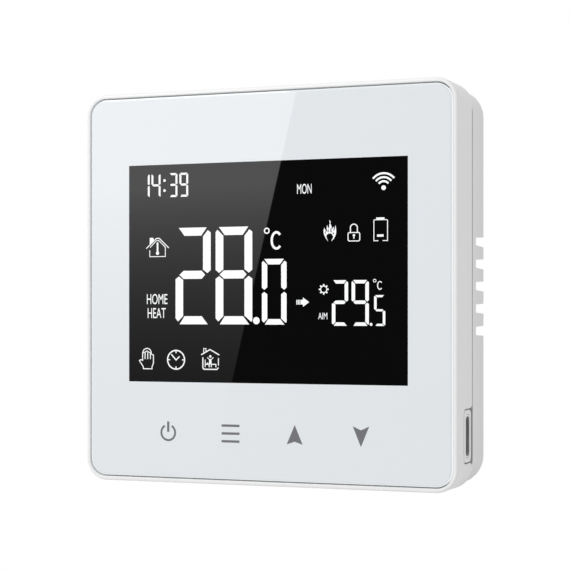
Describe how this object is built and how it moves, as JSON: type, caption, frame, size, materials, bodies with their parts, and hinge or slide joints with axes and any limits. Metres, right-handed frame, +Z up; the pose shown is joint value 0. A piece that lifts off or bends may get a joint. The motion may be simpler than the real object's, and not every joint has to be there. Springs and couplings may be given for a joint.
{
  "type": "wall thermostat",
  "caption": "Square wall thermostat: a glass front unit with display, touch keys and battery that pulls off a slotted wall base with relay and screw terminals.",
  "frame": {"origin": "centre of the rear face, on the wall of the room", "axes": "+Y into the wall, so the glass faces -Y; +Z up; +X to the right as seen by a person in front"},
  "size_m": [0.086, 0.0218, 0.086],
  "materials": {
    "shell_white": "smooth moulded white plastic, semi gloss",
    "shell_grey": "moulded light grey plastic, satin",
    "clear_glass": "clear tempered glass, polished",
    "white_ink": "even white print on the back of the glass",
    "tape": "double-sided tape",
    "display_black": "black display film",
    "display_glass": "display glass",
    "light_guide": "clear acrylic",
    "white_film": "white reflecting film",
    "lamp": "backlight lamp",
    "holder_white": "moulded white plastic",
    "elastomer": "layered conductive rubber",
    "board_green": "green solder mask on glass fibre",
    "chip_black": "moulded black resin",
    "bright_metal": "nickel plated",
    "steel": "zinc plated steel",
    "gold_pins": "gilt brass",
    "battery_foil": "foil pouch",
    "foam": "foam tape",
    "plug_white": "natural nylon",
    "lead_skin": "soft insulation",
    "bead_brown": "epoxy bead",
    "relay_blue": "moulded blue case",
    "capacitor_sleeve": "shrink sleeve",
    "terminal_green": "moulded green nylon"
  },
  "bodies": {
    "wall_base": {"rear_housing": "shell_grey", "relay_board": "board_green", "relay_board_screws": "steel", "relay": "relay_blue", "relay_diode": "chip_black", "smoothing_capacitor": "capacitor_sleeve", "link_socket": "chip_black", "terminal_block": "terminal_green", "terminal_strips": "bright_metal"},
    "front_unit": {"front_housing": "shell_white", "glass_panel": "clear_glass", "glass_ink": "white_ink", "glass_tape": "tape", "front_polariser": "display_black", "display_front_glass": "display_glass", "display_rear_glass": "display_glass", "rear_polariser": "display_black", "light_guide": "light_guide", "reflector_sheet": "white_film", "lamp_strip": "board_green", "backlight_lamps": "lamp", "display_holder": "holder_white", "contact_strip": "elastomer", "main_board": "board_green", "board_screws": "steel", "touch_springs": "bright_metal", "driver_chip": "chip_black", "processor_chip": "chip_black", "touch_chip": "chip_black", "radio_board": "board_green", "radio_shield": "bright_metal", "clock_crystal": "bright_metal", "charging_shell": "bright_metal", "charging_tongue": "chip_black", "socket_plate": "shell_white", "battery_cell": "battery_foil", "battery_pad": "foam", "battery_plug": "plug_white", "battery_socket": "plug_white", "battery_leads": "lead_skin", "link_base": "chip_black", "link_pins": "gold_pins", "room_sensor": "bright_metal", "sensor_bead": "bead_brown"},
    "screw_1": {"terminal_screw_1": "steel"},
    "screw_2": {"terminal_screw_2": "steel"},
    "screw_3": {"terminal_screw_3": "steel"},
    "clamp_1": {"wire_clamp_1": "bright_metal"},
    "clamp_2": {"wire_clamp_2": "bright_metal"},
    "clamp_3": {"wire_clamp_3": "bright_metal"}
  },
  "joints": [
    {"name": "front_pull", "type": "slide", "parent": "wall_base", "child": "front_unit", "axis": [0, -1, 0], "range_m": [0, 0.04]},
    {"name": "terminal_1_turn", "type": "hinge", "parent": "wall_base", "child": "screw_1", "pos_m": [0.0024, -0.006, -0.0045], "axis": [0, 1, 0], "range_deg": [0, 960.1]},
    {"name": "clamp_1_slide", "type": "slide", "parent": "wall_base", "child": "clamp_1", "axis": [0, -1, 0], "range_m": [0, 0.0012]},
    {"name": "terminal_2_turn", "type": "hinge", "parent": "wall_base", "child": "screw_2", "pos_m": [0.0074, -0.006, -0.0045], "axis": [0, 1, 0], "range_deg": [0, 960.1]},
    {"name": "clamp_2_slide", "type": "slide", "parent": "wall_base", "child": "clamp_2", "axis": [0, -1, 0], "range_m": [0, 0.0012]},
    {"name": "terminal_3_turn", "type": "hinge", "parent": "wall_base", "child": "screw_3", "pos_m": [0.0124, -0.006, -0.0045], "axis": [0, 1, 0], "range_deg": [0, 960.1]},
    {"name": "clamp_3_slide", "type": "slide", "parent": "wall_base", "child": "clamp_3", "axis": [0, -1, 0], "range_m": [0, 0.0012]}
  ],
  "couplings": [
    {"joint": "terminal_1_turn", "follows": "clamp_1_slide", "rad_per_m": 13963},
    {"joint": "terminal_2_turn", "follows": "clamp_2_slide", "rad_per_m": 13963},
    {"joint": "terminal_3_turn", "follows": "clamp_3_slide", "rad_per_m": 13963}
  ]
}
